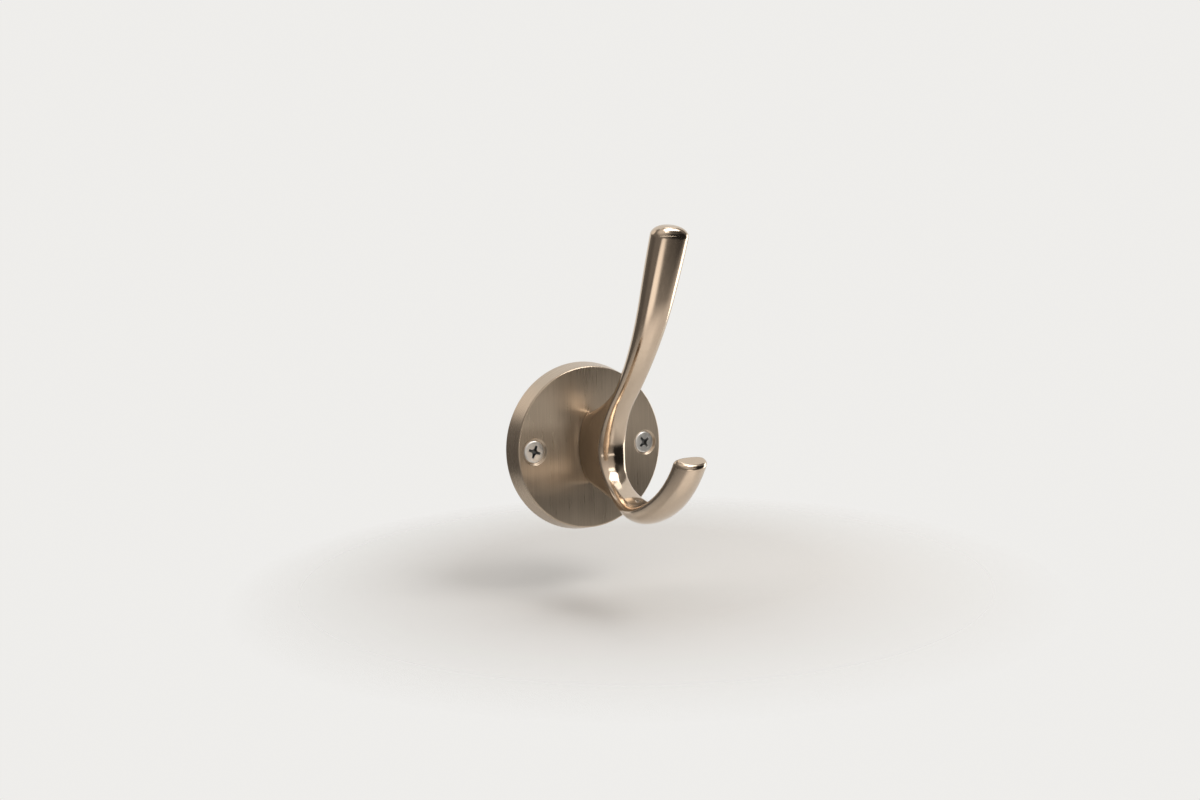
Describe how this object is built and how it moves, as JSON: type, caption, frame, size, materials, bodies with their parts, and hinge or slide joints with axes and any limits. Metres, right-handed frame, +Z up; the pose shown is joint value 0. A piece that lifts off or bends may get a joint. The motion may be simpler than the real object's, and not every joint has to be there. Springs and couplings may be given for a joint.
{
  "type": "double robe hook",
  "caption": "Wall hook with a tall upper prong and a rounded J below on a round rosette, satin and polished nickel, fixed with countersunk screws.",
  "frame": {"origin": "centre of the rosette's back, in the plane of the wall", "axes": "+Z up, +Y into the wall, so the hook reaches out towards -Y; +X is to the right seen from the front"},
  "size_m": [0.0526, 0.0756, 0.0897],
  "materials": {
    "brushed_nickel": "satin nickel plating, brushed up and down",
    "polished_nickel": "smooth semi-gloss nickel plating",
    "zinc_steel": "bright zinc-plated steel"
  },
  "bodies": {
    "root": {"base_plate": "brushed_nickel", "hook_arm": "polished_nickel", "fixing_screw": "zinc_steel", "wall_screws": "zinc_steel"}
  },
  "joints": []
}
